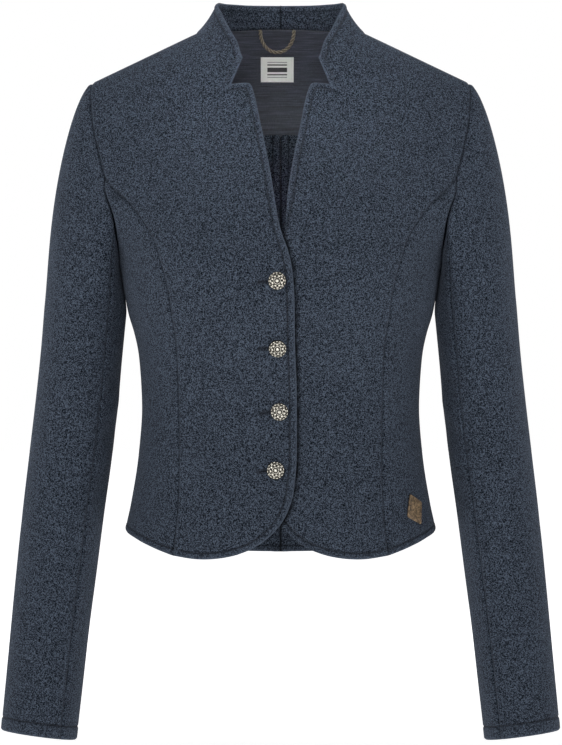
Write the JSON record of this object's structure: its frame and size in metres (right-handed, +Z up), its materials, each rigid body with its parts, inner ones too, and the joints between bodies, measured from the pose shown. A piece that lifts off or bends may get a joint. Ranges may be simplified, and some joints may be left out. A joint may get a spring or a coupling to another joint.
{
  "type": "trachten cardigan",
  "caption": "Short fitted boiled-wool trachten jacket, worn form and hollow, with notched stand collar, rounded cutaway fronts, set-in sleeves and domed metal buttons.",
  "frame": {"origin": "midway between the two side neck points, on the line of the shoulder seams, where the wearer's shoulders hold the garment up", "axes": "+Z up, -Y the garment's front, +X the wearer's left"},
  "size_m": [0.5268, 0.2253, 0.701],
  "materials": {
    "boiled_wool": "heathered navy boiled wool, matt, short nap",
    "lining": "dark navy slubbed lining",
    "cord": "olive-brown cord",
    "label": "off-white woven tape, blank",
    "leather": "brown leather, plain",
    "antique_silver": "antique silver, dark in the recesses"
  },
  "bodies": {
    "root": {"front_right": "boiled_wool", "front_left": "boiled_wool", "side_front_right": "boiled_wool", "side_front_left": "boiled_wool", "back_right": "boiled_wool", "back_left": "boiled_wool", "sleeve_top_upper_right": "boiled_wool", "sleeve_top_lower_right": "boiled_wool", "sleeve_top_upper_left": "boiled_wool", "sleeve_top_lower_left": "boiled_wool", "sleeve_under_upper_right": "boiled_wool", "sleeve_under_lower_right": "boiled_wool", "sleeve_under_upper_left": "boiled_wool", "sleeve_under_lower_left": "boiled_wool", "back_neck_lining": "lining", "hanger_loop": "cord", "neck_label": "label", "leather_tab": "leather", "button_1": "antique_silver", "button_2": "antique_silver", "button_3": "antique_silver", "button_4": "antique_silver"}
  },
  "joints": []
}
